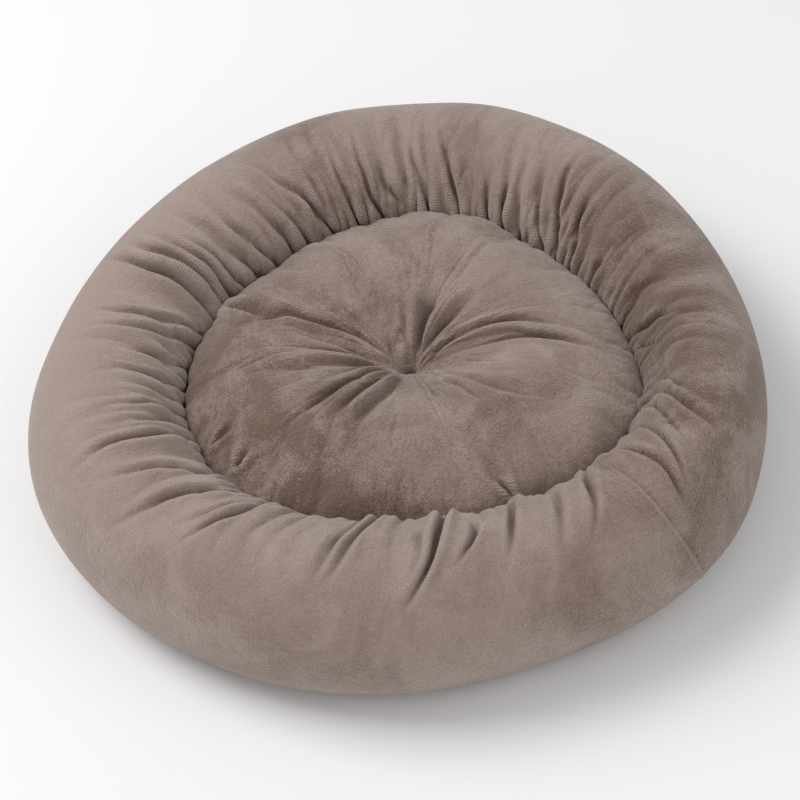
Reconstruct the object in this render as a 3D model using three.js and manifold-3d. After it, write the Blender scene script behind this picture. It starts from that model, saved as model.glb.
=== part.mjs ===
// Round pet cushion bed: a stuffed plush bolster gathered onto a tufted centre cushion, over a grip base.
// Millimetres, +Z up. The origin is on the floor under the middle of the bed.
import * as THREE from "three";
import { mergeVertices } from "three/addons/utils/BufferGeometryUtils.js";
import Module from "manifold-3d";

const wasm = await Module();
wasm.setup();

// The bolster
const bedRadius = 250;
const bolsterHeight = 108;
const crestRadius = 205; // radius of the bolster's top line
const widestHeight = 50; // height of the bolster's widest line

// The seam where the gathered bolster strip meets the centre panel
const seamRadius = 151;
const seamHeight = 68;
const allowance = 8; // cloth turned inside at every seam

// The base
const baseRadius = 215; // radius of the seam between the base cloth and the bolster
const coverLift = 0.6; // the plush starts this far above the floor

// The centre cushion
const crownRadius = 92;
const crownHeight = 87;
const tuftHeight = 54; // where the tuft holds the centre panel
const tuftFloorRadius = 7; // flat cloth under each tack
const tuftRise = 3; // how far the tuft lifts the base cloth
const tuftRiseRadius = 30;

// Cloth, threads and clearance
const plush = 2.2; // backing and pile
const cloth = 1.2; // base cloth and inner wall
const threadDiameter = 1;
const tieDiameter = 2.4;
const gap = 0.3; // between pieces that touch

// Bar tacks at the ends of the tie
const topTackLength = 9;
const topTackDiameter = 2.4;
const baseTackLength = 12;
const baseTackDiameter = 2;
const tackTurn = THREE.MathUtils.degToRad(35);

// Seam places, down from the seam at the centre panel or up from the floor
const seamThreadDrop = 3;
const gatherThreadDrop = 6;
const baseThreadHeight = 4;

// Facets: round the bed, and along each curved stretch of a section
const turns = 40;
const curveSteps = 5;
const threadSides = 6;

// The strip's end seam and the hand-closed filling opening, in facets from +X towards +Y
const joinFacet = -5;
const closingFacet = 11;
const closingFacets = 4;
const closingOverlap = 1; // the closing stitch runs this far past the machine seam's ends

// Radii and heights that follow from the values above. At the centre seam the panel's turned edge is
// innermost, then the bolster's, the inner wall's and the threads that hold them.
const panelEdge = seamRadius - gap / 2;
const coverEdge = seamRadius + gap / 2;
const edgeFoot = seamHeight - allowance;
const wallInside = coverEdge + plush + gap;
const wallOutside = wallInside + cloth;
const wallTop = seamHeight - gap;
const footHeight = cloth + gap;
const footEnd = wallInside + allowance;
const ringRadius = wallOutside + gap + threadDiameter / 2;
const fillingInside = ringRadius + threadDiameter / 2 + gap;
const footThreadHeight = footHeight + cloth + gap + threadDiameter / 2;
const footThreadRadius = (wallOutside + footEnd) / 2;
const baseEdge = baseRadius - gap / 2;
const coverFloorEdge = baseRadius + gap / 2;
const turnedEdgeTop = coverLift + allowance;
const baseThreadRadius = baseEdge - cloth - gap - threadDiameter / 2;
const closingHeight = baseThreadHeight + threadDiameter + gap;
const tieHole = tieDiameter / 2 + gap;

const colours = { plush: 0x9a8478, fibre: 0xf1eee8, grip: 0x3a3836, lining: 0xd9d4cb, thread: 0x83705f };

function fabric(color, roughness) {
  return new THREE.MeshStandardMaterial({ color, roughness, metalness: 0 });
}

const plushMaterial = fabric(colours.plush, 0.95);
const fibreMaterial = fabric(colours.fibre, 1);
const gripMaterial = fabric(colours.grip, 0.8);
const liningMaterial = fabric(colours.lining, 0.9);
const threadMaterial = fabric(colours.thread, 0.7);

const at = (radius, height) => new THREE.Vector2(radius, height);

function curve(from, handleFrom, handleTo, to) {
  return new THREE.CubicBezierCurve(from, handleFrom, handleTo, to).getPoints(curveSteps);
}

// Puts stretches end to end, without the points that they share.
function joined(...stretches) {
  const points = stretches.flat();
  return points.filter((p, i) => i === 0 || p.distanceTo(points[i - 1]) > 1e-6);
}

// The outer line of the bolster's section, from the centre seam over the top and down to the base seam.
function bolsterLine() {
  const seam = at(coverEdge, seamHeight);
  const crest = at(crestRadius, bolsterHeight);
  const widest = at(bedRadius, widestHeight);
  const floor = at(coverFloorEdge, coverLift);
  const rise = bolsterHeight - seamHeight;
  const drop = bolsterHeight - widestHeight;
  const inward = crestRadius - coverEdge;
  const outward = bedRadius - crestRadius;
  const under = bedRadius - coverFloorEdge;
  return joined(
    curve(seam, at(seam.x, seam.y + 0.62 * rise), at(crest.x - 0.5 * inward, crest.y), crest),
    curve(crest, at(crest.x + 0.56 * outward, crest.y), at(widest.x, widest.y + 0.55 * drop), widest),
    curve(widest, at(widest.x, 0.42 * widestHeight), at(floor.x + 0.5 * under, floor.y), floor),
  );
}

// The top line of the centre panel's section, from the tuft over the crown to the centre seam.
function centreLine() {
  const tuft = at(tuftFloorRadius, tuftHeight);
  const crown = at(crownRadius, crownHeight);
  const seam = at(panelEdge, seamHeight);
  const rise = crownHeight - tuftHeight;
  const drop = crownHeight - seamHeight;
  const outward = panelEdge - crownRadius;
  return joined(
    [at(tieHole, tuftHeight)],
    curve(tuft, at(tuft.x + 5, tuft.y + 0.75 * rise), at(0.5 * crownRadius, crown.y), crown),
    curve(crown, at(crown.x + 0.6 * outward, crown.y), at(seam.x, seam.y + 0.6 * drop), seam),
  );
}

// A line moved to its right-hand side, seen along its direction.
function offset(line, distance) {
  return line.map((p, i) => {
    const before = line[Math.max(i - 1, 0)];
    const after = line[Math.min(i + 1, line.length - 1)];
    const along = after.clone().sub(before).normalize();
    return at(p.x + along.y * distance, p.y - along.x * distance);
  });
}

// Turns a closed section round +Z. Its points run anticlockwise, with the radius to the right and +Z up.
function revolved(section) {
  const profile = [...section, section[0].clone()];
  return new THREE.LatheGeometry(profile, turns).rotateX(Math.PI / 2);
}

function node(name, geometry, material) {
  const mesh = new THREE.Mesh(geometry, material);
  mesh.name = name;
  return mesh;
}

function solid(geometry) {
  const bare = geometry.index ? geometry.toNonIndexed() : geometry.clone();
  bare.deleteAttribute("normal");
  bare.deleteAttribute("uv");
  const merged = mergeVertices(bare, 1e-4);
  return new wasm.Manifold(new wasm.Mesh({
    numProp: 3,
    vertProperties: merged.attributes.position.array,
    triVerts: new Uint32Array(merged.index.array),
  }));
}

function cut(geometry, tool) {
  const mesh = solid(geometry).subtract(solid(tool)).getMesh();
  const result = new THREE.BufferGeometry();
  result.setAttribute("position", new THREE.BufferAttribute(new Float32Array(mesh.vertProperties), 3));
  result.setIndex(new THREE.BufferAttribute(new Uint32Array(mesh.triVerts), 1));
  return result;
}

// A round strand along straight stretches between points.
function strand(points, diameter) {
  const path = new THREE.CurvePath();
  points.slice(1).forEach((p, i) => path.add(new THREE.LineCurve3(points[i], p)));
  const section = new THREE.Shape().absarc(0, 0, diameter / 2, 0, 2 * Math.PI);
  const steps = points.length - 1;
  return new THREE.ExtrudeGeometry(section, { steps, curveSegments: threadSides, extrudePath: path });
}

function threadRing(name, radius, height) {
  const ring = new THREE.TorusGeometry(radius, threadDiameter / 2, threadSides, turns);
  return node(name, ring.translate(0, 0, height), threadMaterial);
}

// A thread that follows the base seam over some of the bed's facets.
function threadArc(name, height, firstFacet, facets) {
  const corners = [];
  for (let i = 0; i <= facets; i++) {
    const angle = (2 * Math.PI * (firstFacet + i)) / turns;
    const x = baseThreadRadius * Math.cos(angle);
    const y = baseThreadRadius * Math.sin(angle);
    corners.push(new THREE.Vector3(x, y, height));
  }
  return node(name, strand(corners, threadDiameter), threadMaterial);
}

// The bolster's line moved inside the cover, where it is clear of the seams at its two ends.
function insideLine(distance, innermost, lowest) {
  return offset(bolsterLine(), distance).filter((p, i) => (i <= curveSteps ? p.x > innermost : p.y > lowest));
}

// The middle line of the thread that joins the strip's two ends, just inside the cover.
function joinRoute() {
  const clear = gap + threadDiameter / 2;
  const line = insideLine(plush + clear, fillingInside + clear, turnedEdgeTop + clear);
  const angle = (2 * Math.PI * joinFacet) / turns;
  return line.map((p) => new THREE.Vector3(p.x * Math.cos(angle), p.x * Math.sin(angle), p.y));
}

// Plush strip over the top, outside and underside of the bolster, with both long edges turned inside.
function bolsterCover() {
  const line = bolsterLine();
  const lining = offset(line, plush).filter((p) => p.x > coverEdge + plush && p.y > coverLift + plush);
  const section = [
    at(coverEdge, edgeFoot),
    ...line,
    at(coverFloorEdge, turnedEdgeTop),
    at(coverFloorEdge + plush, turnedEdgeTop),
    at(coverFloorEdge + plush, coverLift + plush),
    ...lining.reverse(),
    at(coverEdge + plush, seamHeight),
    at(coverEdge + plush, edgeFoot),
  ];
  return node("bolster_cover", revolved(section.reverse()), plushMaterial);
}

// Fibre ring in the bolster. It leaves room for the seams below it and for the strip's end seam.
function bolsterFilling() {
  const footTop = footThreadHeight + threadDiameter / 2 + gap;
  const edgeInside = baseThreadRadius - threadDiameter / 2 - gap;
  const edgeOutside = coverFloorEdge + plush + gap;
  const edgeTop = turnedEdgeTop + gap;
  const section = [
    at(fillingInside, footTop),
    at(fillingInside, seamHeight),
    ...insideLine(plush + gap, fillingInside, edgeTop),
    at(edgeOutside, edgeTop),
    at(edgeInside, edgeTop),
    at(edgeInside, footHeight),
    at(footEnd + gap, footHeight),
    at(footEnd + gap, footTop),
  ];
  const groove = strand(joinRoute(), threadDiameter + 2 * gap);
  return node("bolster_filling", cut(revolved(section.reverse()), groove), fibreMaterial);
}

function bolsterJoinThread() {
  return node("bolster_join_thread", strand(joinRoute(), threadDiameter), threadMaterial);
}

// Lining wall between the bolster's filling and the centre's, with a foot sewn to the base cloth.
function innerWall() {
  const section = [
    at(wallInside, footHeight),
    at(footEnd, footHeight),
    at(footEnd, footHeight + cloth),
    at(wallOutside, footHeight + cloth),
    at(wallOutside, wallTop),
    at(wallInside, wallTop),
  ];
  return node("inner_wall", revolved(section), liningMaterial);
}

function centrePanel() {
  const line = centreLine();
  const edge = panelEdge - plush;
  const underside = offset(line, plush).filter((p) => p.x > tieHole && p.x < edge);
  const section = [
    ...line,
    at(panelEdge, edgeFoot),
    at(edge, edgeFoot),
    at(edge, seamHeight),
    ...underside.reverse(),
    at(tieHole, tuftHeight - plush),
  ];
  return node("centre_panel", revolved(section.reverse()), plushMaterial);
}

function centreFilling() {
  const edge = panelEdge - plush - gap;
  const side = wallInside - gap;
  const top = offset(centreLine(), plush + gap).filter((p) => p.x > tieHole && p.x < edge);
  const section = [
    at(tieHole, tuftHeight - plush - gap),
    ...top,
    at(edge, seamHeight),
    at(edge, edgeFoot - gap),
    at(side, edgeFoot - gap),
    at(side, footHeight),
    at(tuftRiseRadius, footHeight),
    at(tuftFloorRadius, footHeight + tuftRise),
    at(tieHole, footHeight + tuftRise),
  ];
  return node("centre_filling", revolved(section.reverse()), fibreMaterial);
}

// Grip cloth under the whole bed, lifted at the tuft, with its edge turned up inside.
function basePanel() {
  const section = [
    at(tieHole, tuftRise),
    at(tuftFloorRadius, tuftRise),
    at(tuftRiseRadius, 0),
    at(baseEdge, 0),
    at(baseEdge, allowance),
    at(baseEdge - cloth, allowance),
    at(baseEdge - cloth, cloth),
    at(tuftRiseRadius, cloth),
    at(tuftFloorRadius, tuftRise + cloth),
    at(tieHole, tuftRise + cloth),
  ];
  return node("base_panel", revolved(section), gripMaterial);
}

function tuftTie() {
  const length = tuftHeight - tuftRise;
  const tie = new THREE.CylinderGeometry(tieDiameter / 2, tieDiameter / 2, length, 12);
  return node("tuft_tie", tie.rotateX(Math.PI / 2).translate(0, 0, tuftRise + length / 2), threadMaterial);
}

function tack(name, length, diameter, middle) {
  const bar = new THREE.CapsuleGeometry(diameter / 2, length - diameter, 3, 10);
  return node(name, bar.rotateZ(Math.PI / 2).rotateZ(tackTurn).translate(0, 0, middle), threadMaterial);
}

const bed = new THREE.Group();
bed.add(bolsterCover(), bolsterFilling(), bolsterJoinThread());
bed.add(centrePanel(), centreFilling(), innerWall(), basePanel());
bed.add(threadRing("centre_seam_thread", ringRadius, seamHeight - seamThreadDrop));
bed.add(threadRing("gathering_thread", ringRadius, seamHeight - gatherThreadDrop));
bed.add(threadRing("wall_foot_thread", footThreadRadius, footThreadHeight));

const seamStart = closingFacet + closingFacets;
bed.add(threadArc("base_seam_thread", baseThreadHeight, seamStart, turns - closingFacets));
const handStart = closingFacet - closingOverlap;
bed.add(threadArc("closing_stitch", closingHeight, handStart, closingFacets + 2 * closingOverlap));

bed.add(tuftTie());
bed.add(tack("tuft_top_tack", topTackLength, topTackDiameter, tuftHeight + gap + topTackDiameter / 2));
bed.add(tack("tuft_base_tack", baseTackLength, baseTackDiameter, tuftRise - gap - baseTackDiameter / 2));

export default bed;
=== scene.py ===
from math import cos, pi, radians, sin

import bpy
import numpy as np
from mathutils import Matrix, Vector, noise


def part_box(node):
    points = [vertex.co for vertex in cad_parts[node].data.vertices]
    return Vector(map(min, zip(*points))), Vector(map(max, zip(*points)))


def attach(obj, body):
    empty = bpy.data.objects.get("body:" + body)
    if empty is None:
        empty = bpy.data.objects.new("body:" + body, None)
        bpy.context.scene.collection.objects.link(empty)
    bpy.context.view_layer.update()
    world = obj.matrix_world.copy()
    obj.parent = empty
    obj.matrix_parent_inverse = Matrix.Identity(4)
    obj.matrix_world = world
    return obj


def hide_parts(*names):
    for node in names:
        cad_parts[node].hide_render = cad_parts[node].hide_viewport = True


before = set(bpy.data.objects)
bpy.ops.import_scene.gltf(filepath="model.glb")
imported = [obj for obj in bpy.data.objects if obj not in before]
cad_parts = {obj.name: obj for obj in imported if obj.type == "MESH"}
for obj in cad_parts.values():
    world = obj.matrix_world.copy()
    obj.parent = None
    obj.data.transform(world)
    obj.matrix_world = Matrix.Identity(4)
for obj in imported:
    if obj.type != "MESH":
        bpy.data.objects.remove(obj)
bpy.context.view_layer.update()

MM = 0.001

# ---------------------------------------------------------------- sizes from the frame

cover_low, cover_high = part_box("bolster_cover")
panel_low, panel_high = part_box("centre_panel")
base_low, base_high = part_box("base_panel")
tie_low, tie_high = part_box("tuft_tie")

BED = cover_high[0]  # mean outer radius
TOP = cover_high[2]
CREST = BED - 45 * MM  # radius of the bolster's top line
WIDEST = 50 * MM  # height of the bolster's widest line
SEAM = panel_high[0]  # radius of the seam round the centre
SEAM_FOOT = panel_low[2]  # the turned edges end here
SEAM_TOP = SEAM_FOOT + 8 * MM
CROWN = panel_high[2]
CROWN_AT = 92 * MM
TUFT = tie_high[2]
BASE = base_high[0]
CLOTH = 1.2 * MM
THREAD = 1 * MM
LIFT = cover_low[2]

# The bed lies a little out of round: waves round the bed, share of its radius, degrees of a crest.
OUTLINE_WAVES = ((2, 0.019, 69), (3, 0.026, -39), (5, 0.007, -31))
SEAM_WAVES = ((2, 0.008, -12), (3, 0.025, -34), (4, 0.005, -20))
SEAM_NOTCH = (-24, 9, 5)  # where folds draw the seam outwards: degrees, half width in degrees, millimetres
CENTRE_SHIFT = (0.0072, 0.001)

# Folds of the gathered bolster strip. Degrees from +X towards +Y at the inner and the outer end,
# millimetres from the centre seam to each end, then depth and half width in millimetres.
BOLSTER_FOLDS = (
    (153, 151, 0, 120, 8.0, 3.2),
    (148, 147, 0, 105, 6.5, 2.6),
    (142, 145, 0, 88, 4.5, 3.4),
    (137, 142, 2, 78, 3.5, 2.8),
    (131, 137, 0, 92, 4.0, 3.6),
    (125, 131, 4, 70, 3.0, 3.0),
    (118, 124, 0, 84, 3.5, 3.4),
    (112, 119, 0, 58, 3.0, 2.6),
    (104, 116, 0, 80, 4.5, 3.0),
    (98, 101, 0, 78, 4.0, 2.6),
    (92, 95, 0, 78, 4.5, 2.6),
    (88, 90, 20, 55, 3.0, 3.0),
    (80, 82, 0, 72, 4.0, 2.6),
    (71, 76, 0, 75, 5.0, 2.4),
    (62, 66, 0, 48, 3.5, 2.4),
    (58, 60, 0, 50, 3.5, 2.4),
    (54, 58, 0, 85, 2.5, 4.0),
    (46, 52, 0, 60, 3.5, 2.4),
    (40, 48, 0, 90, 4.0, 2.6),
    (34, 39, 0, 75, 3.5, 2.6),
    (25, 25, 0, 55, 2.5, 3.0),
    (9, 6, 5, 80, 3.0, 3.0),
    (3, -6, 0, 82, 4.0, 2.6),
    (-1, -10, 0, 50, 2.5, 2.4),
    (-18, -27, 0, 92, 4.5, 3.0),
    (-24, -32, 0, 112, 8.0, 3.2),
    (-27, -37, 4, 100, 4.5, 2.6),
    (-33, -43, 12, 118, 6.0, 2.8),
    (-45, -45, 55, 128, 4.5, 2.6),
    (-52, -63, 45, 112, 3.5, 2.6),
    (-61, -68, 55, 112, 2.5, 3.0),
    (-71, -76, 45, 108, 3.5, 2.8),
    (-85, -93, 40, 125, 8.0, 3.0),
    (-80, -84, 62, 100, 3.5, 2.6),
    (-90, -93, 65, 108, 2.5, 3.0),
    (-101, -106, 40, 110, 4.0, 3.0),
    (-104, -108, 40, 110, 3.0, 3.0),
    (-125, -131, 40, 105, 4.5, 2.6),
    (-126, -134, 35, 98, 2.5, 3.0),
    (-133, -144, 30, 118, 5.0, 3.2),
    (-145, -151, 25, 105, 3.6, 3.4),
    (-160, -156, 8, 112, 6.5, 3.0),
    (-166, -162, 5, 90, 2.5, 3.0),
    (-172, -166, 3, 88, 3.5, 2.8),
    (-177, -173, 3, 70, 2.5, 2.6),
    (177, 184, 0, 80, 3.0, 2.6),
    (170, 178, 0, 80, 2.2, 2.6),
    (162, 173, 0, 96, 3.0, 2.6),
    (158, 168, 0, 97, 3.0, 2.6),
)
JOIN = (-51, -48)  # degrees of the strip's end seam at the crest and at the floor

# How strongly the strip is gathered, by degrees round the bed.
GATHERS = (
    (-180, 1.0), (-140, 0.8), (-100, 0.6), (-60, 0.8), (-45, 1.3), (-35, 1.2), (-15, 0.7),
    (20, 0.6), (40, 0.9), (90, 1.1), (110, 0.7), (140, 0.7), (160, 1.0), (180, 1.0),
)

# How light the nap looks round the bolster, by degrees.
BOLSTER_NAP = (
    (-180, 1.05), (-140, 0.73), (-100, 0.68), (-60, 0.56), (-45, 0.38), (-30, 0.26), (0, 0.10), (25, 0.32),
    (45, 0.66), (60, 0.80), (80, 0.68), (105, 0.50), (130, 1.06), (150, 1.06), (180, 1.05),
)

# Folds of the centre panel: two to four points (degrees, millimetres from the tuft along the cloth),
# then depth and half width in millimetres.
CENTRE_FOLDS = (
    (((66, 6), (67, 45), (64, 85)), 7.5, 6.5),
    (((95, 6), (89, 35), (86, 62)), 3.5, 4.0),
    (((44, 6), (42, 45), (40, 88)), 4.0, 5.0),
    (((22, 6), (13, 50), (7, 95), (-3, 140)), 4.0, 4.0),
    (((6, 6), (-2, 60), (-6, 115), (-10, 150)), 3.5, 4.0),
    (((150, 6), (147, 50), (154, 100), (166, 148)), 4.0, 4.0),
    (((171, 6), (175, 50), (180, 105)), 3.2, 4.0),
    (((188, 6), (189, 60), (190, 118)), 3.2, 4.0),
    (((205, 6), (213, 60), (222, 135)), 3.3, 4.5),
    (((228, 6), (231, 70), (237, 150)), 3.3, 5.0),
    (((250, 20), (246, 75), (242, 140)), 4.0, 6.5),
    (((-42, 40), (-44, 90), (-39, 128)), 2.0, 5.0),
    (((-57, 50), (-57, 100)), 1.5, 5.0),
    (((-68, 172), (-69, 146)), 3.0, 2.4),
    (((150, 156), (154, 128), (163, 100)), 4.5, 5.0),
    (((215, 157), (214, 140)), 2.5, 3.0),
    (((205, 157), (206, 138)), 2.5, 3.0),
)

PILE_ROWS = 1.75 * MM  # from one row of the pile to the next
STRIP_CUT = 241 * MM  # the strip's cut length, as the radius of its ring

TURNS = 600  # columns round the bolster
STRIP_ROWS = 72  # rows from the centre seam to the base seam
HIDDEN_ROWS = 10  # rows inside, from the base seam back to the centre seam
PANEL_TURNS = 360  # columns round the centre
PANEL_ROWS = 72  # rows from the tuft to the centre seam
UNDER_ROWS = 12  # rows inside, from the centre seam to the middle

# ---------------------------------------------------------------- sections


def curve(a, b, c, d, steps=24):
    """Points of a cubic curve from a to d."""
    points = []
    for i in range(steps + 1):
        t = i / steps
        u = 1 - t
        weights = (u**3, 3 * u * u * t, 3 * u * t * t, t**3)
        points.append(tuple(sum(w * corner[k] for w, corner in zip(weights, (a, b, c, d))) for k in (0, 1)))
    return points


def spread(points, count):
    """count points evenly along a line, its unit normals on the left, and its length."""
    xy = np.array(points)
    lengths = np.concatenate([[0], np.cumsum(np.hypot(*np.diff(xy, axis=0).T))])
    at = np.linspace(0, lengths[-1], count)
    even = np.stack([np.interp(at, lengths, xy[:, k]) for k in (0, 1)], -1)
    along = np.gradient(even, axis=0)
    along /= np.linalg.norm(along, axis=1)[:, None]
    return even, np.stack([-along[:, 1], along[:, 0]], -1), lengths[-1]


def bolster_line():
    """The bolster's section, from the centre seam over the top and under to the base seam."""
    crest = (CREST, TOP)
    widest = (BED, WIDEST)
    inner = SEAM + 0.5 * MM
    return (
        curve((inner, SEAM_FOOT), (inner, SEAM_TOP + 22 * MM), (CREST - 27 * MM, TOP), crest)
        + curve(crest, (CREST + 25 * MM, TOP), (BED, WIDEST + 32 * MM), widest)[1:]
        + curve(widest, (BED, 21 * MM), (BASE + 17 * MM, LIFT), (BASE + 0.5 * MM, LIFT))[1:]
    )


def centre_line():
    """The centre panel's section, from the tuft over the crown to the centre seam."""
    edge = SEAM - 0.8 * MM
    crown = (CROWN_AT, CROWN)
    return (
        [(0, TUFT + 0.5 * MM), (5 * MM, TUFT + 1 * MM)]
        + curve((5 * MM, TUFT + 1 * MM), (12 * MM, TUFT + 25 * MM), (CROWN_AT / 2, CROWN), crown)[1:]
        + curve(crown, (CROWN_AT + 42 * MM, CROWN), (edge, SEAM_TOP + 17 * MM), (edge, SEAM_FOOT))[1:]
    )


def wave(angle, waves):
    """Sum of waves round the bed."""
    return sum(share * np.cos(count * (angle - radians(crest))) for count, share, crest in waves)


def smooth(x, low, high):
    """0 below low, 1 above high, with no corner between."""
    t = np.clip((x - low) / (high - low), 0, 1)
    return t * t * (3 - 2 * t)


def band(x, low, full, last, end):
    """Rises from low to full and falls from last to end."""
    return smooth(x, low, full) * (1 - smooth(x, last, end))


def hump(gap, half):
    """1 in the middle and soft to both sides."""
    return np.exp(-((gap / half) ** 2))


def settle(radius, angle, height):
    """Places of points of the round bed once it lies out of round."""
    outer = smooth(radius, SEAM, CREST)
    inner = 1 - outer
    at, half, depth = SEAM_NOTCH
    notch = depth * MM * hump(turn_gap(angle, radians(at)), radians(half))
    drawn = (BED * wave(angle, SEAM_WAVES) + notch) * np.minimum(radius / SEAM, 1) ** 2
    moved = radius + inner * drawn + outer * BED * wave(angle, OUTLINE_WAVES)
    x = moved * np.cos(angle) + inner * CENTRE_SHIFT[0]
    y = moved * np.sin(angle) + inner * CENTRE_SHIFT[1]
    return np.stack([x, y, height], -1)


def turn_gap(a, b):
    """Signed angle from b to a."""
    return (a - b + pi) % (2 * pi) - pi


def bolster_folds(angle, along, radius, narrow=1.0, power=2.0):
    """Height of the folds over the smooth strip, in metres, at arrays of points."""
    height = np.zeros_like(angle)
    slow = radians(0.5) * np.sin(along / MM / 14 + 9 * angle)
    quick = radians(0.2) * np.sin(along / MM / 6 + 23 * angle)
    angle = angle + slow + quick
    for inner, outer, start, end, depth, half in BOLSTER_FOLDS:
        share = (along / MM - start) / (end - start)
        middle = radians(inner) + radians(outer - inner) * np.clip(share, 0, 1)
        bow = radians(1.2) * np.sin(pi * np.clip(share, 0, 1))
        across = turn_gap(angle, middle + bow) * radius / MM / (half * narrow)
        fade = smooth(share, -0.12, 0.12) * (1 - smooth(share, 0.45, 1.05))
        sides = 0.45 * np.exp(-((across - 2.1) ** 2) / 1.6) + 0.45 * np.exp(-((across + 2.1) ** 2) / 1.6)
        height += depth * MM * fade * (sides - np.exp(-np.abs(across) ** power))
    return height


def stops_at(angle, stops):
    """Value at an angle between (degrees, value) stops."""
    return np.interp(np.degrees(angle), [a for a, _ in stops], [v for _, v in stops])


def gathered(angle):
    """How strongly the strip is gathered at an angle."""
    return stops_at(angle, GATHERS)


def gathers(angle, along):
    """The small even gathers, fine at the seam and coarser away from it."""
    drift = 1.6 * np.sin(3 * angle) + 1.1 * np.sin(7 * angle + 1) + 0.6 * np.sin(16 * angle + 2)
    away = along / MM
    fine = 1.5 * np.exp(-away / 12) * np.cos(126 * angle + 2 * drift)
    middle = 2.4 * band(away, 2, 16, 30, 75) * (np.abs(np.cos(47.5 * angle + 1.9 * drift)) - 0.6)
    coarse = 3.3 * band(away, 18, 45, 60, 118) * (np.abs(np.cos(24 * angle + 1.3 * drift)) - 0.6)
    return MM * gathered(angle) * (fine + middle + coarse)


def noise_at(points):
    """Smooth noise, about -1 to 1, at points in cells of 1."""
    return 1.6 * np.array([noise.noise(p) for p in points.tolist()])


def strip_noise(angle, along, pitch, reach, layer):
    """Noise over the strip: pitch is the size of its cells round the seam, reach their size away from it."""
    turn = SEAM / (pitch * MM)
    away = along / (reach * MM) + 7.3 * layer
    return noise_at(np.stack([np.cos(angle) * turn, np.sin(angle) * turn, away], -1))


def panel_noise(angle, along, pitch, reach, layer):
    """Noise over the centre panel, drawn out away from the tuft."""
    turn = 0.4 * SEAM / (pitch * MM)
    away = along / (reach * MM) + 5.7 * layer
    return noise_at(np.stack([np.cos(angle) * turn, np.sin(angle) * turn, away], -1))


def creases(field, width):
    """Thin valleys where a noise changes its sign, rounded ridges between them."""
    return 0.35 - np.exp(-np.abs(field / width) ** 1.2)


# ---------------------------------------------------------------- mesh tools


def deselect():
    """Back to object mode with nothing selected."""
    if bpy.context.object and bpy.context.object.mode != "OBJECT":
        bpy.ops.object.mode_set(mode="OBJECT")
    bpy.ops.object.select_all(action="DESELECT")


def active(piece):
    """Selects one piece alone."""
    deselect()
    piece.select_set(True)
    bpy.context.view_layer.objects.active = piece


def places(piece):
    """Places of a mesh's points."""
    flat = np.empty(len(piece.data.vertices) * 3)
    piece.data.vertices.foreach_get("co", flat)
    return flat.reshape(-1, 3)


def put(piece, points):
    """Moves a mesh's points to new places."""
    piece.data.vertices.foreach_set("co", np.ascontiguousarray(points).ravel())
    piece.data.update()


def normals(piece):
    """Outward directions at a mesh's points."""
    flat = np.empty(len(piece.data.vertices) * 3)
    piece.data.vertices.foreach_get("normal", flat)
    return flat.reshape(-1, 3)


def spun_ring(name, sides, around):
    """A ring turned from a circle, with each point's column and row."""
    deselect()
    middle = (CREST, 0, TOP / 2)
    bpy.ops.mesh.primitive_circle_add(vertices=sides, radius=40 * MM, location=middle, rotation=(pi / 2, 0, 0))
    ring = bpy.context.object
    ring.name = name
    bpy.ops.object.transform_apply(location=True, rotation=True, scale=True)
    bpy.ops.object.mode_set(mode="EDIT")
    bpy.ops.mesh.select_all(action="SELECT")
    bpy.ops.mesh.spin(steps=around, angle=2 * pi, center=(0, 0, 0), axis=(0, 0, 1))
    bpy.ops.mesh.select_all(action="SELECT")
    bpy.ops.mesh.remove_doubles(threshold=1e-6)
    bpy.ops.mesh.normals_make_consistent(inside=False)
    bpy.ops.object.mode_set(mode="OBJECT")
    points = places(ring)
    turn = np.arctan2(points[:, 1], points[:, 0])
    tilt = np.arctan2(points[:, 2] - TOP / 2, np.hypot(points[:, 0], points[:, 1]) - CREST)
    column = np.round(turn / (2 * pi / around)).astype(int)
    row = np.round((pi - tilt) / (2 * pi / sides)).astype(int) % sides
    return ring, column, row


def stuff(piece, cut, pinned, pressure, frames, cap, slack):
    """Fills a cover made from the flat cut, by cloth simulation. Points move at most cap."""
    active(piece)
    start = places(piece)
    piece.shape_key_add(name="Basis")
    flat = piece.shape_key_add(name="flat_cut")
    flat.data.foreach_set("co", np.ascontiguousarray(cut).ravel())
    flat.value = 0
    group = piece.vertex_groups.new(name="sewn")
    group.add([int(i) for i in np.flatnonzero(pinned)], 1.0, "REPLACE")
    cloth = piece.modifiers.new("stuffing", "CLOTH")
    fabric = cloth.settings
    fabric.quality = 4
    fabric.mass = 0.15
    fabric.tension_stiffness = 15
    fabric.compression_stiffness = slack
    fabric.shear_stiffness = 5
    fabric.bending_stiffness = 0.05
    fabric.air_damping = 2
    fabric.use_pressure = True
    fabric.uniform_pressure_force = pressure
    fabric.vertex_group_mass = "sewn"
    fabric.rest_shape_key = flat
    fabric.effector_weights.gravity = 0
    cloth.collision_settings.use_collision = False
    cloth.collision_settings.use_self_collision = False
    cloth.point_cache.frame_end = frames
    for number in range(1, frames + 1):
        bpy.context.scene.frame_set(number)
    bpy.ops.object.modifier_apply_as_shapekey(modifier="stuffing", keep_modifier=False)
    keys = piece.data.shape_keys.key_blocks
    for key in keys:
        key.value = 0
    keys[-1].value = 1
    bpy.ops.object.shape_key_remove(all=True, apply_mix=True)
    piece.vertex_groups.clear()
    bpy.context.scene.frame_set(1)
    moved = places(piece) - start
    far = np.linalg.norm(moved, axis=1)[:, None]
    put(piece, start + moved * np.minimum(1, cap / np.maximum(far, 1e-9)))


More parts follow.
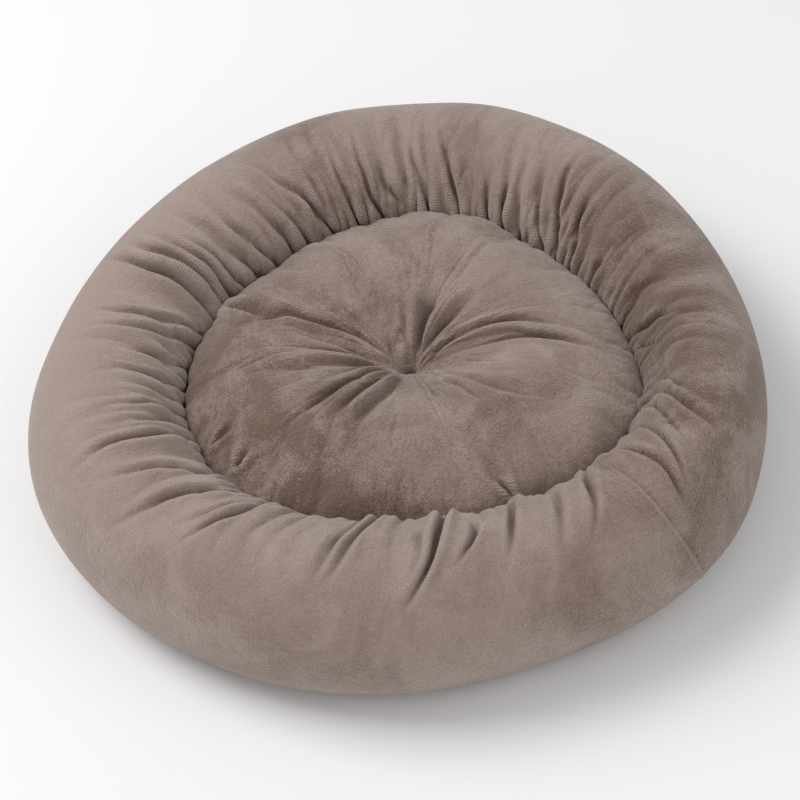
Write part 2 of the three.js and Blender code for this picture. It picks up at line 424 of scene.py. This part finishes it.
def subdivide(piece):
    """Halves every edge and smooths the faces."""
    active(piece)
    finer = piece.modifiers.new("finer", "SUBSURF")
    finer.levels = 1
    finer.render_levels = 1
    finer.use_limit_surface = False
    bpy.ops.object.modifier_apply(modifier="finer")
    for face in piece.data.polygons:
        face.use_smooth = True


def ridges(piece):
    """How sharply each point stands over its neighbours: ridges up to 1, valleys down to -1."""
    mesh = piece.data
    edges = np.empty(len(mesh.edges) * 2, dtype=np.int64)
    mesh.edges.foreach_get("vertices", edges)
    a, b = edges.reshape(-1, 2).T
    points = places(piece)
    count = np.bincount(a, minlength=len(points)) + np.bincount(b, minlength=len(points))

    def mean(values):
        total = np.bincount(a, values[b], len(points)) + np.bincount(b, values[a], len(points))
        return total / np.maximum(count, 1)

    around = np.stack([mean(points[:, k]) for k in range(3)], -1)
    length = np.linalg.norm(points[a] - points[b], axis=1)
    size = (np.bincount(a, length, len(points)) + np.bincount(b, length, len(points))) / np.maximum(count, 1)
    bend = np.einsum("ij,ij->i", points - around, normals(piece)) / np.maximum(size, 1e-7) ** 2
    for _ in range(2):
        bend = (bend + mean(bend)) / 2
    return np.clip(bend * 0.006, -1, 1)


def number_layer(piece, name, values):
    """Keeps a number for every point."""
    layer = piece.data.attributes.new(name, "FLOAT", "POINT")
    layer.data.foreach_set("value", np.ascontiguousarray(values, dtype=np.float32))


def read_layer(piece, name):
    """The numbers kept for every point."""
    values = np.empty(len(piece.data.vertices), dtype=np.float32)
    piece.data.attributes[name].data.foreach_get("value", values)
    return values


def finish(piece, material, slot, *nodes):
    """Gives a piece its material and its place in the frame."""
    piece.data.materials.clear()
    piece.data.materials.append(material)
    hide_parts(*nodes)
    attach(piece, "root")


# ---------------------------------------------------------------- materials


class Value:
    """A socket's value in a material. Arithmetic on it adds Math nodes."""

    def __init__(self, look, socket):
        self.look = look
        self.socket = socket

    def math(self, operation, *values, clamp=False):
        settings = {"operation": operation, "use_clamp": clamp}
        return self.look.add("ShaderNodeMath", settings, *values)

    def __add__(self, other):
        return self.math("ADD", self, other)

    def __radd__(self, other):
        return self.math("ADD", other, self)

    def __sub__(self, other):
        return self.math("SUBTRACT", self, other)

    def __rsub__(self, other):
        return self.math("SUBTRACT", other, self)

    def __mul__(self, other):
        return self.math("MULTIPLY", self, other)

    def __rmul__(self, other):
        return self.math("MULTIPLY", other, self)

    def clamped(self):
        return self.math("ADD", self, 0, clamp=True)

    def sine(self):
        return self.math("SINE", self)


class Look:
    """A material with a Principled shader."""

    def __init__(self, name, **constants):
        self.material = bpy.data.materials.new(name)
        self.material.use_nodes = True
        self.nodes = self.material.node_tree.nodes
        self.links = self.material.node_tree.links
        self.shader = self.nodes["Principled BSDF"]
        for socket, value in constants.items():
            self.shader.inputs[socket.replace("_", " ")].default_value = value

    def add(self, kind, settings, *values, out=0, **named):
        """Adds a node: settings first, then the values or links of its sockets, in order or by name."""
        node = self.nodes.new(kind)
        for key, value in settings.items():
            setattr(node, key, value)
        for key, value in [*enumerate(values), *((k.replace("_", " "), v) for k, v in named.items())]:
            if isinstance(value, Value):
                self.links.new(value.socket, node.inputs[key])
            elif value is not None:
                node.inputs[key].default_value = value
        return Value(self, node.outputs[out])

    def feed(self, socket, value):
        self.links.new(value.socket, self.shader.inputs[socket])

    def place(self):
        return self.add("ShaderNodeTexCoord", {}, out="Object")

    def lay(self):
        return self.add("ShaderNodeUVMap", {"uv_map": "lay"})

    def number(self, name):
        return self.add("ShaderNodeAttribute", {"attribute_name": name}, out="Fac")

    def stretch(self, vector, scale):
        return self.add("ShaderNodeVectorMath", {"operation": "MULTIPLY"}, vector, scale)

    def grain(self, vector, scale, detail=2.0, rough=0.5, bend=0.0):
        size = {"Scale": scale, "Detail": detail, "Roughness": rough, "Distortion": bend}
        return self.add("ShaderNodeTexNoise", {}, Vector=vector, **size)

    def span(self, value, low, high, to_low=0.0, to_high=1.0):
        settings = {"interpolation_type": "SMOOTHSTEP"}
        return self.add("ShaderNodeMapRange", settings, value, low, high, to_low, to_high)

    def mix(self, share, a, b):
        node = self.nodes.new("ShaderNodeMix")
        node.data_type = "RGBA"
        for key, value in (("Factor_Float", share), ("A_Color", a), ("B_Color", b)):
            socket = next(s for s in node.inputs if s.identifier == key)
            if isinstance(value, Value):
                self.links.new(value.socket, socket)
            else:
                socket.default_value = value if key == "Factor_Float" else (*value, 1)
        return Value(self, next(s for s in node.outputs if s.identifier == "Result_Color"))

    def bump(self, height, strength=1.0, distance=MM):
        self.feed("Normal", self.add("ShaderNodeBump", {}, strength, distance, Height=height))


def plush_look():
    """Short-pile plush. Its nap is lighter and darker in brushed patches and opens into rows on ridges. Ridges
    are painted lighter and fold valleys darker, as painted shade in the creases.
    """
    look = Look(
        "taupe_plush",
        Roughness=0.95,
        Specular_IOR_Level=0.15,
        Sheen_Weight=0.55,
        Sheen_Roughness=0.42,
        Sheen_Tint=(0.95, 0.88, 0.83, 1),
    )
    place = look.place()
    lay = look.lay()
    # the nap number holds the nap's lightness, plus painted light on the end seam's lip and on the centre's
    # front rim
    nap = look.number("nap")
    ridge = look.number("ridge")
    patches = look.span(look.grain(place, 15, 4, 0.65, 0.8), 0.36, 0.64)
    strokes = look.grain(look.stretch(lay, (90, 32, 1)), 1, 3, 0.6, 0.6)
    mottle = look.grain(place, 190, 3, 0.65)
    tufts = look.grain(place, 850, 2, 0.6)
    fibre = look.grain(look.stretch(lay, (1700, 800, 1)), 1, 2, 0.7)
    disturbed = 1.7 - 1.3 * nap
    lightness = nap + disturbed * (0.5 * (patches - 0.5) + 0.4 * (strokes - 0.5) + 0.36 * (mottle - 0.5))
    # 0.45 * ridge lightens fold crests and darkens fold valleys: painted shade in the creases
    lightness = lightness + disturbed * (1.3 * (tufts - 0.5) + 0.5 * (fibre - 0.5)) + 0.45 * ridge
    apart = look.add("ShaderNodeSeparateXYZ", {}, lay, out="Y")
    wander = look.grain(place, 90, 1, 0.5)
    rows = (apart * (2 * pi / PILE_ROWS) + 9 * wander).sine()
    opened = look.span(ridge, 0.15, 0.5)
    lightness = lightness + 0.1 * rows * opened
    brown = (0.165, 0.109, 0.081)
    taupe = (0.365, 0.281, 0.242)
    look.feed("Base Color", look.mix(lightness.clamped(), brown, taupe))
    clumps = look.grain(look.stretch(lay, (420, 300, 1)), 1, 2, 0.6, 0.5)
    height = 0.6 * (fibre - 0.5) + 1.6 * (tufts - 0.5) + 1.6 * (clumps - 0.5)
    look.bump(height + 1.2 * (mottle - 0.5) + 0.3 * rows * opened, 0.8)
    return look.material


def grip_look():
    """Dark woven cloth with rows of small grip dots."""
    look = Look("grip_cloth", Roughness=0.8, Sheen_Weight=0.2)
    place = look.place()
    x = look.add("ShaderNodeSeparateXYZ", {}, place, out="X")
    y = look.add("ShaderNodeSeparateXYZ", {}, place, out="Y")
    thread = 2 * pi / (0.8 * MM)
    weave = (x * thread).sine() * (y * thread).sine()
    dot = look.add("ShaderNodeTexVoronoi", {"feature": "F1"}, Vector=place, Scale=150, Randomness=0.0)
    raised = look.span(dot, 0.26, 0.2)
    cloth = look.mix((0.5 + 0.35 * weave).clamped(), (0.018, 0.016, 0.015), (0.06, 0.055, 0.052))
    look.feed("Base Color", look.mix(raised, cloth, (0.012, 0.012, 0.012)))
    look.feed("Roughness", 0.85 - 0.4 * raised)
    look.bump(0.25 * weave + 0.7 * raised)
    return look.material


def thread_look():
    """Twisted sewing thread."""
    look = Look("sewing_thread", Roughness=0.6, Sheen_Weight=0.3)
    place = look.place()
    slanted = {"bands_direction": "DIAGONAL"}
    ply = look.add("ShaderNodeTexWave", slanted, Vector=place, Scale=700, Distortion=1.0)
    look.feed("Base Color", look.mix(ply, (0.1, 0.075, 0.062), (0.2, 0.155, 0.135)))
    look.bump(0.3 * ply)
    return look.material


def lining_look():
    """Pressed fibre lining, with the small dimples that bond it."""
    look = Look("pressed_lining", Roughness=0.9)
    place = look.place()
    fibres = look.grain(place, 900, 3, 0.7, 1.5)
    bond = look.add("ShaderNodeTexVoronoi", {}, Vector=place, Scale=420, Randomness=0.0)
    pressed = look.span(bond, 0.3, 0.2)
    look.feed("Base Color", look.mix(fibres, (0.55, 0.52, 0.46), (0.78, 0.75, 0.69)))
    look.bump(0.2 * fibres - 0.25 * pressed)
    return look.material


# ---------------------------------------------------------------- the bolster


def row_map(piece, name, across, along, wrap):
    """A UV map in metres. wrap is across's length once round, or 0."""
    layer = piece.data.uv_layers.new(name=name)
    for face in piece.data.polygons:
        loops = list(face.loop_indices)
        corners = [piece.data.loops[i].vertex_index for i in loops]
        start = across[corners[0]]
        for loop, corner in zip(loops, corners):
            u = across[corner]
            if wrap:
                u += wrap * round((start - u) / wrap)
            layer.data[loop].uv = (u, along[corner])


def join_angle(along):
    """Where the strip's end seam runs, by the distance from the centre seam."""
    share = (along / MM - 95) / 70
    return radians(JOIN[0] + 1) + radians(3) * share**2


def round_angle(points):
    """Angles and radii of points round the bed's middle, before it was shifted."""
    radius = np.hypot(points[:, 0], points[:, 1])
    inner = 1 - smooth(radius, SEAM, CREST)
    x = points[:, 0] - inner * CENTRE_SHIFT[0]
    y = points[:, 1] - inner * CENTRE_SHIFT[1]
    return np.arctan2(y, x), np.hypot(x, y)


def nap_round(angle, along):
    """Lightness of the nap on the bolster."""
    puffed = hump(turn_gap(angle, radians(-42)), radians(11)) * (1 - smooth(along, 30 * MM, 66 * MM))
    rubbed = hump(turn_gap(angle, radians(-27)), radians(11))
    rubbed = rubbed * band(along, 60 * MM, 85 * MM, 110 * MM, 150 * MM)
    front = smooth(np.cos(angle + pi / 2), -0.2, 0.7) * (1 - smooth(along, 95 * MM, 150 * MM))
    behind = smooth(np.sin(angle), 0.1, 0.6) * smooth(along, 100 * MM, 140 * MM)
    nap = stops_at(angle, BOLSTER_NAP) + 0.24 * puffed - 0.2 * rubbed
    return nap + behind * (0.75 - nap) + 0.15 * front


def make_bolster(material):
    """The plush strip with its filling, as one closed piece."""
    sides = STRIP_ROWS + HIDDEN_ROWS
    ring, column, row = spun_ring("plush_bolster", sides, TURNS)
    line, out, length = spread(bolster_line(), STRIP_ROWS)
    wall = SEAM + 7 * MM
    floor = 7 * MM
    inside = [line[-1], (BASE + 0.5 * MM, floor), (wall, floor), (wall, SEAM_FOOT - 3 * MM), line[0]]
    hidden = spread(inside, HIDDEN_ROWS + 2)[0][1:-1]
    section = np.concatenate([line, hidden])
    facing = np.concatenate([out, np.zeros_like(hidden)])
    angle = turn_gap(column * (2 * pi / TURNS), 0.0)
    shown = row < STRIP_ROWS
    along = np.where(shown, row * length / (STRIP_ROWS - 1), length)
    height = bolster_folds(angle, along, section[row, 0]) + gathers(angle, along)
    height += 2.5 * MM * band(along, 10 * MM, 40 * MM, 70 * MM, 130 * MM) * strip_noise(angle, along, 24, 90, 1)
    height += 2 * MM * smooth(along, 30 * MM, 90 * MM) * strip_noise(angle, along, 60, 80, 2)
    height *= smooth(length - along, 0, 40 * MM) * smooth(along, 0, 8 * MM)
    profile = section[row] + facing[row] * height[:, None]
    put(ring, settle(profile[:, 0], angle, profile[:, 1]))
    cut = places(ring)
    flat = np.stack([STRIP_CUT * np.cos(angle), STRIP_CUT * np.sin(angle), 0.3 - 1.03 * along], -1)
    cut[shown] = flat[shown]
    pinned = ~shown | (row < 2) | (row > STRIP_ROWS - 3)
    number_layer(ring, "along", along)
    seam_turn = (angle - radians(JOIN[0])) % (2 * pi)
    row_map(ring, "lay", seam_turn * BED, along, 2 * pi * BED)
    stuff(ring, cut, pinned, pressure=14, frames=22, cap=12 * MM, slack=6)
    subdivide(ring)
    dress_bolster(ring, length)
    finish(ring, material, "plush", "bolster_cover", "bolster_filling")


def dress_bolster(ring, length):
    """Sharpens the folds, sews the end seam in and sets the nap, with a painted highlight on the end seam's
    lip.
    """
    points = places(ring)
    along = read_layer(ring, "along")
    angle, radius = round_angle(points)
    shown = smooth(length - along, 0, 30 * MM)
    lift = 0.6 * bolster_folds(angle, along, radius, narrow=0.7, power=1.15) + 0.3 * gathers(angle, along)
    strength = gathered(angle)
    patch = smooth(strip_noise(angle, along, 35, 45, 3), -0.5, 0.3)
    fine = creases(strip_noise(angle, along, 6, 34, 4), 0.3) * (1 - smooth(along, 14 * MM, 60 * MM))
    wide = creases(strip_noise(angle, along, 11, 55, 5), 0.22) * band(along, 4 * MM, 20 * MM, 55 * MM, 118 * MM)
    crumple = strip_noise(angle, along, 4, 12, 6) * (1 - smooth(along, 20 * MM, 90 * MM))
    scallop = np.abs(np.cos(58 * angle + 2.2 * np.sin(5 * angle) + 1.4 * np.sin(11 * angle))) - 0.6
    scallop = scallop * band(along, 3 * MM, 9 * MM, 16 * MM, 38 * MM)
    lift += MM * strength * (0.9 * fine + 1.5 * wide * patch + 0.25 * crumple + 1.5 * scallop)
    fuller = 1.5 + 1.8 * hump(turn_gap(angle, radians(-5)), radians(9))
    lift += fuller * MM * band(along, 2 * MM, 10 * MM, 14 * MM, 34 * MM)
    lift *= smooth(along, 0, 8 * MM)
    beside = turn_gap(angle, join_angle(along)) * radius / MM
    sewn = smooth(along, 60 * MM, 95 * MM)
    puckers = 0.35 * np.sin(along / (4.2 * MM) * 2 * pi) * np.exp(-((np.abs(beside) - 3) ** 2) / 6)
    lip = np.exp(-((beside + 0.8) ** 2) / 1.5)
    groove = np.exp(-((beside - 1.2) ** 2) / 1.2)
    lift += MM * sewn * (puckers + 0.7 * lip - 0.9 * groove)
    put(ring, points + normals(ring) * (lift * shown)[:, None])
    number_layer(ring, "ridge", ridges(ring))
    # 0.22 * lip * sewn lightens the colour along the end seam's lip: a painted highlight
    number_layer(ring, "nap", nap_round(angle, along) + 0.22 * lip * sewn)


# ---------------------------------------------------------------- the centre cushion


def centre_folds(angle, along, narrow=1.0, power=2.0):
    """Height of the creases of the centre panel over its smooth shape, in metres."""
    slow = radians(1.2) * np.sin(along / MM / 16 + 5 * angle)
    quick = radians(0.5) * np.sin(along / MM / 7 + 11 * angle)
    angle = angle + slow + quick
    x = along * np.cos(angle) / MM
    y = along * np.sin(angle) / MM
    height = np.zeros_like(x)
    for route, depth, half in CENTRE_FOLDS:
        route = [(d * cos(radians(a)), d * sin(radians(a))) for a, d in route]
        best = np.full_like(x, 1e9)
        share = np.zeros_like(x)
        total = len(route) - 1
        for i, ((ax, ay), (bx, by)) in enumerate(zip(route, route[1:])):
            size = (bx - ax) ** 2 + (by - ay) ** 2
            t = np.clip(((x - ax) * (bx - ax) + (y - ay) * (by - ay)) / size, 0, 1)
            away = np.hypot(x - ax - t * (bx - ax), y - ay - t * (by - ay))
            nearer = away < best
            best = np.where(nearer, away, best)
            share = np.where(nearer, (i + t) / total, share)
        across = best / (half * narrow * (0.6 + 0.8 * share))
        fade = 1 - smooth(share, 0.5, 1.0)
        ridge = 0.5 * np.exp(-((across - 2.0) ** 2) / 1.4)
        height += depth * MM * fade * (ridge - np.exp(-np.abs(across) ** power))
    flatter = smooth(-np.cos(angle), 0.2, 0.8)
    return height * smooth(along / (1 + 1.1 * flatter), 4 * MM, 26 * MM)


def make_centre(material):
    """The tufted plush panel with its filling, as one closed piece."""
    rows = PANEL_ROWS + UNDER_ROWS
    deselect()
    bpy.ops.mesh.primitive_uv_sphere_add(segments=PANEL_TURNS, ring_count=rows, radius=SEAM)
    pad = bpy.context.object
    pad.name = "plush_centre"
    points = places(pad)
    angle = np.arctan2(points[:, 1], points[:, 0])
    row = np.round(np.arccos(np.clip(points[:, 2] / SEAM, -1, 1)) / (pi / rows)).astype(int)
    line, out, length = spread(centre_line(), PANEL_ROWS + 1)
    wall = SEAM - 4 * MM
    inside = [line[-1], (wall, SEAM_FOOT - 4 * MM), (wall, 7 * MM), (30 * MM, 6 * MM), (0, 8 * MM)]
    hidden = spread(inside, UNDER_ROWS + 1)[0][1:]
    section = np.concatenate([line, hidden])
    facing = np.concatenate([out, np.zeros_like(hidden)])
    shown = row <= PANEL_ROWS
    along = np.where(shown, row * length / PANEL_ROWS, length)
    edge = length - along
    puckers = 0.8 * MM * np.cos(60 * angle + 3 * np.sin(5 * angle)) * np.exp(-edge / (9 * MM))
    pulls = 0.5 * MM * np.cos(17 * angle + 2 * np.sin(3 * angle)) * smooth(along, 8 * MM, 25 * MM)
    puckers += pulls * np.exp(-along / (40 * MM))
    height = (centre_folds(angle, along) + puckers) * smooth(edge, 0, 8 * MM)
    lumps = 2.5 * MM * smooth(along, 10 * MM, 40 * MM) * smooth(edge, 0, 30 * MM)
    height += lumps * panel_noise(angle, along, 14, 90, 1)
    front = smooth(-np.sin(angle), 0.1, 0.75)
    height += 5 * MM * front * band(along, 5 * MM, 16 * MM, 24 * MM, 60 * MM)
    profile = section[row] + facing[row] * height[:, None]
    put(pad, settle(profile[:, 0], angle, profile[:, 1]))
    cut = places(pad)
    flat = np.stack([along * np.cos(angle), along * np.sin(angle), np.full_like(along, 0.2)], -1)
    cut[shown] = flat[shown]
    pinned = ~shown | (row > PANEL_ROWS - 2) | (along < 6 * MM)
    number_layer(pad, "along", along)
    row_map(pad, "lay", flat[:, 0], flat[:, 1], 0)
    stuff(pad, cut, pinned, pressure=10, frames=22, cap=12 * MM, slack=4)
    subdivide(pad)
    dress_centre(pad, length)
    finish(pad, material, "plush", "centre_panel", "centre_filling")


def dress_centre(pad, length):
    """Sharpens the folds of the centre and sets its nap, with painted light on the front and right rim where it
    drops into the seam's shade.
    """
    points = places(pad)
    along = read_layer(pad, "along")
    x = points[:, 0] - CENTRE_SHIFT[0]
    y = points[:, 1] - CENTRE_SHIFT[1]
    angle = np.arctan2(y, x)
    sharper = 0.45 * smooth(along, 8 * MM, 45 * MM) + 0.4 * smooth(along, 45 * MM, 95 * MM)
    lift = sharper * centre_folds(angle, along, narrow=0.75, power=1.2)
    patch = smooth(panel_noise(angle, along, 20, 50, 2), -0.3, 0.5)
    lines = creases(panel_noise(angle, along, 8, 70, 3), 0.2) * band(along, 6 * MM, 22 * MM, 60 * MM, 150 * MM)
    crumple = creases(panel_noise(angle, along, 3.4, 16, 4), 0.25) * smooth(along, 125 * MM, 160 * MM)
    lift += MM * (1.2 * lines * patch + 0.6 * crumple)
    edge = length - along
    lift += 2.2 * MM * band(edge, 2 * MM, 10 * MM, 14 * MM, 36 * MM)
    lift *= smooth(edge, 0, 10 * MM)
    put(pad, points + normals(pad) * lift[:, None])
    number_layer(pad, "ridge", ridges(pad))
    left = smooth(-x, 0.0, 0.11) * smooth(0.07 - y, -0.03, 0.09)
    front = smooth(-y, 0.02, 0.11)
    behind = smooth(y, 0.03, 0.1)
    right = smooth(x, 0.02, 0.1)
    nap = 0.5 - 0.44 * left - 0.2 * front * (1 - left) - 0.02 * behind + 0.16 * right * (1 - front)
    # painted light: the front and right rim is painted lighter where it turns down into the shade of the seam
    painted_rim_light = smooth(along, 112 * MM, 150 * MM) * smooth(-y, 0, 0.08) * smooth(x, -0.03, 0.05)
    number_layer(pad, "nap", nap + 0.4 * painted_rim_light)


# ---------------------------------------------------------------- the base, the tuft and the stage


def make_base(material):
    """Grip cloth with its edge turned up inside the bolster, lifted at the tuft."""
    deselect()
    bpy.ops.mesh.primitive_circle_add(vertices=180, radius=BASE, fill_type="NGON", location=(0, 0, 0))
    base = bpy.context.object
    base.name = "grip_base"
    bpy.ops.object.mode_set(mode="EDIT")
    bpy.ops.mesh.select_all(action="SELECT")
    for ring in (4, 46, 60, 60, 18, 12):
        bpy.ops.mesh.inset(thickness=ring * MM, depth=0)
    bpy.ops.mesh.poke()
    bpy.ops.object.mode_set(mode="OBJECT")
    points = places(base)
    radius = np.hypot(points[:, 0], points[:, 1])
    angle = np.arctan2(points[:, 1], points[:, 0])
    lift = 3 * MM * (1 - smooth(radius, 6 * MM, 32 * MM))
    put(base, settle(radius, angle, lift))
    active(base)
    bpy.ops.object.mode_set(mode="EDIT")
    bpy.ops.mesh.select_all(action="DESELECT")
    bpy.ops.mesh.select_non_manifold()
    bpy.ops.mesh.extrude_region_move(TRANSFORM_OT_translate={"value": (0, 0, 6 * MM)})
    bpy.ops.mesh.select_all(action="SELECT")
    bpy.ops.mesh.normals_make_consistent(inside=False)
    bpy.ops.object.mode_set(mode="OBJECT")
    wall = base.modifiers.new("cloth", "SOLIDIFY")
    wall.thickness = CLOTH
    wall.offset = -1
    bpy.ops.object.modifier_apply(modifier="cloth")
    bpy.ops.object.shade_smooth_by_angle(angle=radians(35))
    finish(base, material, "grip_cloth", "base_panel")


def make_tack(material):
    """Turns of thread that hold the centre panel down at the tuft."""
    turns = []
    for number in range(-2, 3):
        deselect()
        place = (*CENTRE_SHIFT, TUFT + (1.6 + 0.35 * (number % 2)) * MM)
        lean = (0, pi / 2, radians(35 + 14 * number))
        span = (8 - abs(number)) * MM
        bpy.ops.mesh.primitive_cylinder_add(
            vertices=10, radius=0.45 * MM, depth=span, location=place, rotation=lean
        )
        bpy.ops.object.transform_apply(location=True, rotation=True, scale=True)
        turns.append(bpy.context.object)
    deselect()
    for turn in turns:
        turn.select_set(True)
    bpy.context.view_layer.objects.active = turns[0]
    bpy.ops.object.join()
    tack = bpy.context.object
    tack.name = "tuft_bar_tack"
    edge = tack.modifiers.new("soft", "BEVEL")
    edge.width = 0.2 * MM
    edge.segments = 2
    bpy.ops.object.modifier_apply(modifier="soft")
    bpy.ops.object.shade_smooth()
    finish(tack, material, "thread", "tuft_top_tack")


def make_wall(material):
    """Lining wall between the two fillings, with its foot on the base cloth."""
    low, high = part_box("inner_wall")
    foot = SEAM + 5 * MM
    top = SEAM_FOOT + MM  # under the turned edges
    deselect()
    bpy.ops.mesh.primitive_circle_add(vertices=180, radius=high[0], location=(0, 0, low[2] + CLOTH / 2))
    wall = bpy.context.object
    wall.name = "inner_wall_lining"
    bpy.ops.object.transform_apply(location=True, rotation=True, scale=True)
    bpy.ops.object.mode_set(mode="EDIT")
    bpy.ops.mesh.select_all(action="SELECT")
    bpy.ops.mesh.extrude_region_move()
    narrower = foot / high[0]
    bpy.ops.transform.resize(value=(narrower, narrower, 1), center_override=(0, 0, 0))
    rise = (top - low[2] - CLOTH / 2) / 6
    for _ in range(6):
        bpy.ops.mesh.extrude_region_move(TRANSFORM_OT_translate={"value": (0, 0, rise)})
    bpy.ops.mesh.select_all(action="SELECT")
    bpy.ops.mesh.normals_make_consistent(inside=False)
    bpy.ops.object.mode_set(mode="OBJECT")
    points = places(wall)
    angle = np.arctan2(points[:, 1], points[:, 0])
    radius = np.hypot(points[:, 0], points[:, 1])
    ripple = 0.5 * MM * np.sin(24 * angle) * band(points[:, 2], 5 * MM, 40 * MM, 45 * MM, 60 * MM)
    put(wall, settle(radius + ripple, angle, points[:, 2]))
    active(wall)
    cloth = wall.modifiers.new("cloth", "SOLIDIFY")
    cloth.thickness = CLOTH
    cloth.offset = 0
    bpy.ops.object.modifier_apply(modifier="cloth")
    bpy.ops.object.shade_smooth_by_angle(angle=radians(35))
    finish(wall, material, "lining", "inner_wall")


def thread_line(name, route, thickness, closed, material, node):
    """A thread along a route of points."""
    deselect()
    bpy.ops.mesh.primitive_circle_add(vertices=len(route), radius=BED)
    line = bpy.context.object
    line.name = name
    put(line, route)
    if not closed:
        bpy.ops.object.mode_set(mode="EDIT")
        bpy.ops.mesh.select_all(action="DESELECT")
        bpy.ops.object.mode_set(mode="OBJECT")
        for edge in line.data.edges:
            edge.select = set(edge.vertices) == {0, len(route) - 1}
        bpy.ops.object.mode_set(mode="EDIT")
        bpy.ops.mesh.select_mode(type="EDGE")
        bpy.ops.mesh.delete(type="EDGE")
        bpy.ops.object.mode_set(mode="OBJECT")
    bpy.ops.object.convert(target="CURVE")
    line.data.bevel_depth = thickness / 2
    line.data.bevel_resolution = 1
    line.data.use_fill_caps = True
    bpy.ops.object.convert(target="MESH")
    bpy.ops.object.shade_smooth()
    finish(line, material, "thread", node)


def seam_thread(name, material, node, pitch, start=0.0, sweep=360.0):
    """A row of stitches round the bed, where the frame has the thread."""
    low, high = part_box(node)
    closed = sweep == 360
    radius = high[0] - THREAD / 2 if closed else BASE - 2 * MM
    count = round(radians(sweep) * radius / (pitch * MM))
    angle = radians(start) + radians(sweep) * np.arange(4 * count + (not closed)) / (4 * count)
    turn = np.arange(len(angle)) * (pi / 2)
    height = (low[2] + high[2]) / 2 + 0.3 * MM * np.sin(turn)
    route = settle(radius + 0.3 * MM * np.cos(turn), angle, height)
    thread_line(name, route, 0.9 * THREAD, closed, material, node)


def make_threads(material):
    """The seams' stitches, the end seam of the strip and the cord of the tuft."""
    seam_thread("centre_seam_stitches", material, "centre_seam_thread", 4)
    seam_thread("gathering_stitches", material, "gathering_thread", 6)
    seam_thread("wall_foot_stitches", material, "wall_foot_thread", 5)
    seam_thread("base_seam_stitches", material, "base_seam_thread", 4)
    seam_thread("closing_stitches", material, "closing_stitch", 5, 98, 38)
    line, out, length = spread(bolster_line(), 80)
    inside = (line - 7 * MM * out)[16:66]
    along = np.linspace(0, length, 80)[16:66]
    route = settle(inside[:, 0], join_angle(along), inside[:, 1])
    thread_line("join_stitches", route, THREAD, False, material, "bolster_join_thread")
    share = np.linspace(0, 1, 24)
    x = 0.2 * MM * np.cos(20 * share) + share * CENTRE_SHIFT[0]
    y = 0.2 * MM * np.sin(20 * share) + share * CENTRE_SHIFT[1]
    route = np.stack([x, y, tie_low[2] + share * (TUFT - tie_low[2])], -1)
    thread_line("tuft_cord", route, 2 * tie_high[0], False, material, "tuft_tie")


def set_stage():
    """A pale floor, even light from all round and three soft lamps."""
    deselect()
    bpy.ops.mesh.primitive_circle_add(vertices=96, radius=9, fill_type="NGON", location=(0, 0, -0.3 * MM))
    floor = bpy.context.object
    floor.name = "floor"
    paint = Look("pale_floor", Roughness=0.9, Base_Color=(0.86, 0.86, 0.86, 1))
    floor.data.materials.append(paint.material)
    world = bpy.data.worlds.new("studio")
    world.use_nodes = True
    sky = world.node_tree.nodes["Background"]
    sky.inputs["Color"].default_value = (0.97, 0.98, 1.0, 1)
    sky.inputs["Strength"].default_value = 0.55
    bpy.context.scene.world = world
    lamps = (((-1.5, 0.5, 2.1), 1.5, 42), ((1.7, -1.2, 1.6), 2.2, 10), ((0.2, -2.0, 1.0), 1.6, 5))
    for place, size, power in lamps:
        bpy.ops.object.light_add(type="AREA", location=place)
        lamp = bpy.context.object
        lamp.data.size = size
        lamp.data.energy = power
        lamp.rotation_euler = (-Vector(place)).to_track_quat("-Z", "Y").to_euler()
    bpy.context.scene.view_settings.view_transform = "Standard"


def set_camera():
    """Eight bed radii away at 45 degrees, with the picture turned a little."""
    tilt = radians(45)
    turned = radians(6)
    aim = Vector((0, 0, 0.15 * BED))
    away = 8 * BED
    eye = aim + away * Vector((0, -cos(tilt), sin(tilt)))
    ahead = (aim - eye).normalized()
    side = Vector((1, 0, 0))
    over = side.cross(ahead)
    right = side * cos(turned) - over * sin(turned)
    up = side * sin(turned) + over * cos(turned)
    lens = bpy.data.cameras.new("camera")
    lens.sensor_width = 36
    lens.lens = 132.8
    lens.shift_x = -0.003
    lens.shift_y = -0.0014
    camera = bpy.data.objects.new("camera", lens)
    camera.matrix_world = Matrix((right, up, -ahead)).transposed().to_4x4()
    camera.location = eye
    bpy.context.collection.objects.link(camera)
    bpy.context.scene.camera = camera


set_camera()
set_stage()
plush = plush_look()
thread = thread_look()
grip = grip_look()
lining = lining_look()
make_bolster(plush)
make_centre(plush)
make_base(grip)
make_tack(thread)
make_wall(lining)
make_threads(thread)
for node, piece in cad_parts.items():
    piece.data.materials.clear()
    piece.data.materials.append(lining if node == "inner_wall" else thread)
